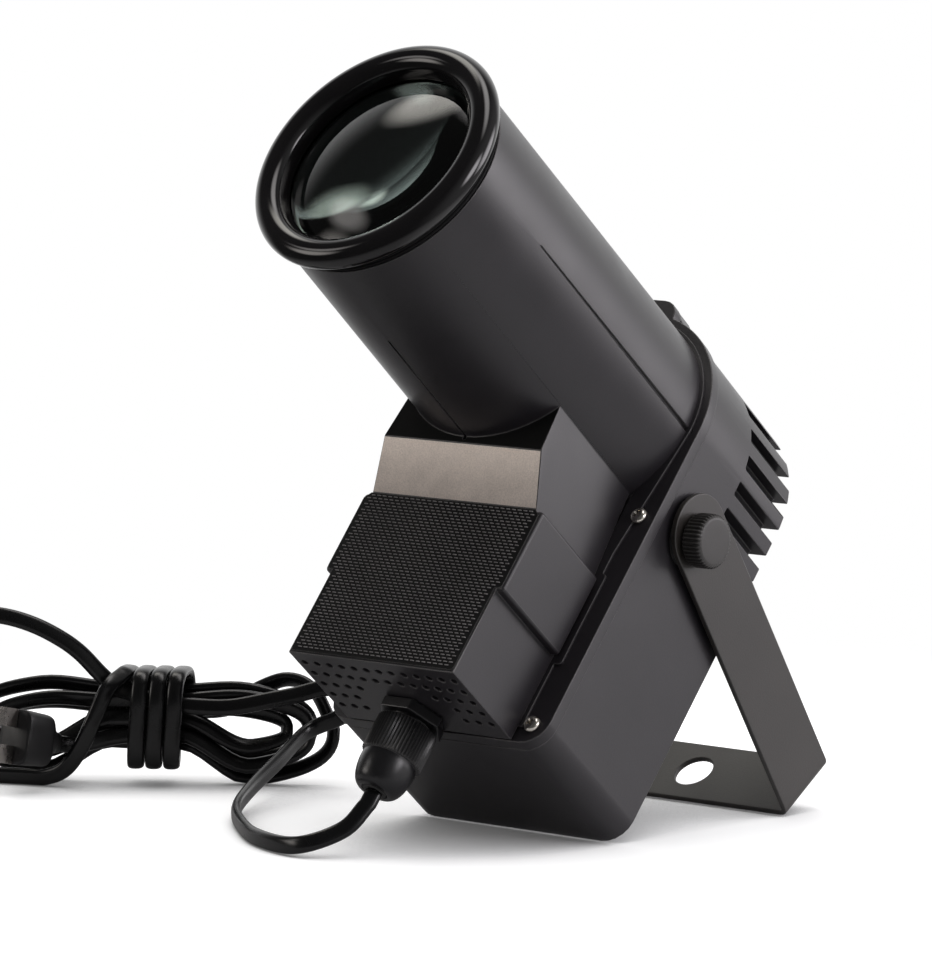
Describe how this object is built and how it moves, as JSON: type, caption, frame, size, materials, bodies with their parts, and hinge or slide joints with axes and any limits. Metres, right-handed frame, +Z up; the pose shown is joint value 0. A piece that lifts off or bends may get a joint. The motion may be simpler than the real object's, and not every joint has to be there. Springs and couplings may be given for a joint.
{
  "type": "pinspot light",
  "caption": "Slim stage spotlight with a round lens barrel, driver box, finned rear housing and tilting U-shaped yoke, standing on its yoke with the mains cord tied in a hank.",
  "frame": {"origin": "centre of the lamp's footprint on the floor, measured without the cord and plug", "axes": "+Z up; the beam points up and towards -Y at 40 degrees; the tilt axis runs along X"},
  "size_m": [0.2799, 0.2109, 0.2596],
  "materials": {
    "housing_plastic": "satin",
    "bezel_gloss": "gloss",
    "inner_black": "satin",
    "rubber": "matte",
    "lens_glass": "clear",
    "clear_acrylic": "clear",
    "yoke_paint": "satin",
    "knob_plastic": "satin",
    "steel": "satin",
    "screw_chrome": "polished",
    "brass": "satin",
    "gland_nylon": "satin",
    "cord_jacket": "semi-gloss",
    "plug_rubber": "satin",
    "blade_metal": "nickel plated",
    "aluminium": "satin",
    "white_ceramic": "satin",
    "phosphor": "satin",
    "board_green": "satin",
    "transformer_tape": "satin",
    "terminal_green": "satin",
    "capacitor_sleeve": "gloss",
    "wire_red": "gloss",
    "wire_black": "gloss"
  },
  "bodies": {
    "lamp": {"bezel_ring": "bezel_gloss", "board_screw_1": "screw_chrome", "board_screw_2": "screw_chrome", "board_screw_3": "screw_chrome", "board_screw_4": "screw_chrome", "collimator_holder": "inner_black", "collimator_lens": "clear_acrylic", "cord_hank": "cord_jacket", "cord_lead": "cord_jacket", "cord_tail": "cord_jacket", "driver_board": "board_green", "flange_screw_left_bottom": "screw_chrome", "flange_screw_left_middle": "screw_chrome", "flange_screw_right_bottom": "screw_chrome", "flange_screw_right_middle": "screw_chrome", "flange_screw_top": "screw_chrome", "front_housing": "housing_plastic", "front_lens": "lens_glass", "gland_body": "gland_nylon", "gland_locknut": "gland_nylon", "gland_nut": "gland_nylon", "gland_seal": "rubber", "heat_sink": "aluminium", "heat_sink_screw_left": "screw_chrome", "heat_sink_screw_right": "screw_chrome", "input_capacitor": "capacitor_sleeve", "led_board": "white_ceramic", "led_emitter": "phosphor", "led_wire_black": "wire_black", "led_wire_red": "wire_red", "lens_gasket": "rubber", "lens_retainer": "inner_black", "output_capacitor": "capacitor_sleeve", "plug_blade_lower": "blade_metal", "plug_blade_upper": "blade_metal", "plug_body": "plug_rubber", "rear_housing": "housing_plastic", "terminal_block": "terminal_green", "thermal_pad": "white_ceramic", "threaded_insert_left": "brass", "threaded_insert_right": "brass", "transformer": "transformer_tape", "yoke_washer_left": "rubber", "yoke_washer_right": "rubber"},
    "yoke": {"yoke": "yoke_paint"},
    "knob_right": {"thumb_knob_right": "knob_plastic", "knob_stud_right": "steel"},
    "knob_left": {"thumb_knob_left": "knob_plastic", "knob_stud_left": "steel"}
  },
  "joints": [
    {"name": "yoke_tilt", "type": "hinge", "parent": "lamp", "child": "yoke", "pos_m": [0, 0.03037, 0.09788], "axis": [1, 0, 0], "range_deg": [-72, 140]},
    {"name": "knob_right_turn", "type": "hinge", "parent": "lamp", "child": "knob_right", "pos_m": [0.0525, 0.03037, 0.09788], "axis": [1, 0, 0], "range_deg": [0, 720]},
    {"name": "knob_left_turn", "type": "hinge", "parent": "lamp", "child": "knob_left", "pos_m": [-0.0525, 0.03037, 0.09788], "axis": [-1, 0, 0], "range_deg": [0, 720]}
  ]
}
